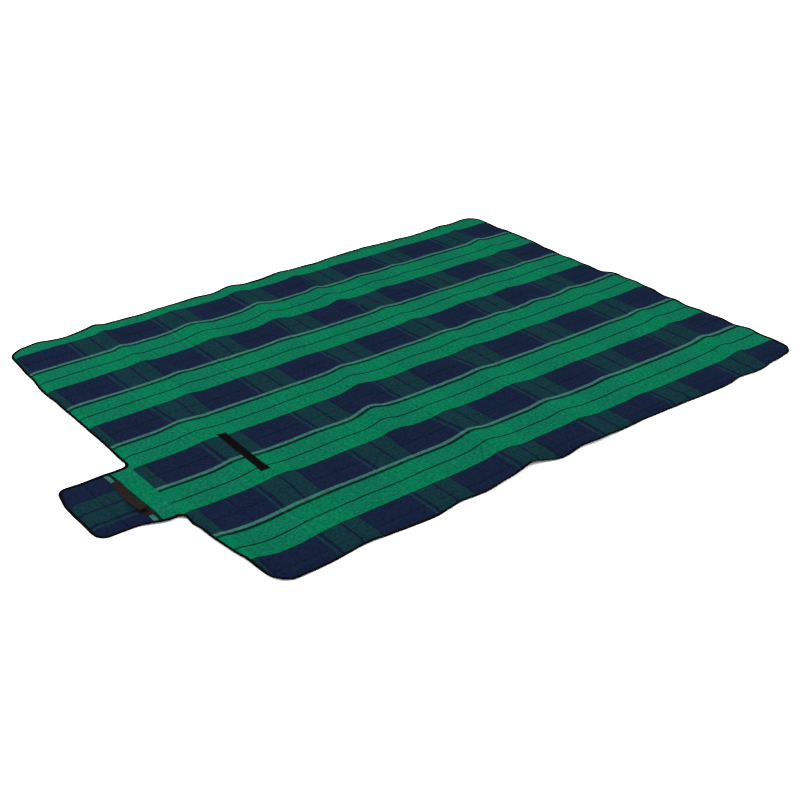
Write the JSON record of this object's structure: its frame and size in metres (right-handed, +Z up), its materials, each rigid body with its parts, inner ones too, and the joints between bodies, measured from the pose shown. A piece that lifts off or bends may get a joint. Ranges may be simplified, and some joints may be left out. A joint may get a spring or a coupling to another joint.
{
  "type": "camp blanket",
  "caption": "Padded rectangular picnic blanket in tartan cloth with bound edges, a waterproof underside and a carry tongue with a webbing handle and a hook-and-loop closure.",
  "frame": {"origin": "bottom centre of the whole blanket lying flat and open, tongue included, on the ground plane", "axes": "+X along the blanket's length, away from the tongue; +Y from its front edge to its back edge; +Z up out of the tartan face"},
  "size_m": [1.675, 1.2, 0.0125],
  "materials": {
    "tartan_cloth": "brushed napped cloth, muted green and navy tartan",
    "wadding_fill": "soft white fibre wadding",
    "backing_film": "matt waterproof film with a fine grain",
    "binding_tape": "woven tape, matt black",
    "sewing_thread": "spun polyester thread, black",
    "webbing": "ribbed webbing, brown-black with a slight sheen",
    "closure_tape": "hook-and-loop tape, black"
  },
  "bodies": {
    "centre_front_quarter": {"backing_centre_front": "backing_film", "wadding_centre_front": "wadding_fill", "face_cloth_centre_front": "tartan_cloth", "binding_centre_front": "binding_tape", "binding_thread_centre_front": "sewing_thread", "tongue_seam_allowance": "tartan_cloth", "tongue_seam_thread": "sewing_thread", "loop_strip": "closure_tape", "loop_strip_thread": "sewing_thread"},
    "front_quarter": {"backing_front": "backing_film", "wadding_front": "wadding_fill", "face_cloth_front": "tartan_cloth", "binding_front": "binding_tape", "binding_thread_front": "sewing_thread"},
    "centre_back_quarter": {"backing_centre_back": "backing_film", "wadding_centre_back": "wadding_fill", "face_cloth_centre_back": "tartan_cloth", "binding_centre_back": "binding_tape", "binding_thread_centre_back": "sewing_thread"},
    "back_quarter": {"backing_back": "backing_film", "wadding_back": "wadding_fill", "face_cloth_back": "tartan_cloth", "binding_back": "binding_tape", "binding_thread_back": "sewing_thread"},
    "tongue": {"backing_tongue": "backing_film", "wadding_tongue": "wadding_fill", "face_cloth_tongue": "tartan_cloth", "binding_tongue": "binding_tape", "binding_thread_tongue": "sewing_thread", "hook_strip": "closure_tape", "hook_strip_thread": "sewing_thread", "handle_end_front": "webbing", "handle_end_thread_front": "sewing_thread", "handle_end_back": "webbing", "handle_end_thread_back": "sewing_thread"},
    "handle": {"handle_strap": "webbing"}
  },
  "joints": [
    {"name": "front_fold", "type": "hinge", "parent": "centre_front_quarter", "child": "front_quarter", "pos_m": [0.0875, -0.3, 0.01], "axis": [-1, 0, 0], "range_deg": [0, 179.8]},
    {"name": "centre_fold", "type": "hinge", "parent": "centre_front_quarter", "child": "centre_back_quarter", "pos_m": [0.0875, 0, 0.0215], "axis": [1, 0, 0], "range_deg": [0, 179.8]},
    {"name": "back_fold", "type": "hinge", "parent": "centre_back_quarter", "child": "back_quarter", "pos_m": [0.0875, 0.3, 0.01], "axis": [1, 0, 0], "range_deg": [0, 179.8]},
    {"name": "tongue_fold", "type": "hinge", "parent": "centre_front_quarter", "child": "tongue", "pos_m": [-0.6625, -0.17, 0.025], "axis": [0, 1, 0], "range_deg": [0, 150]},
    {"name": "handle_lift", "type": "slide", "parent": "tongue", "child": "handle", "axis": [0, 0, 1], "range_m": [0, 0.012]}
  ]
}
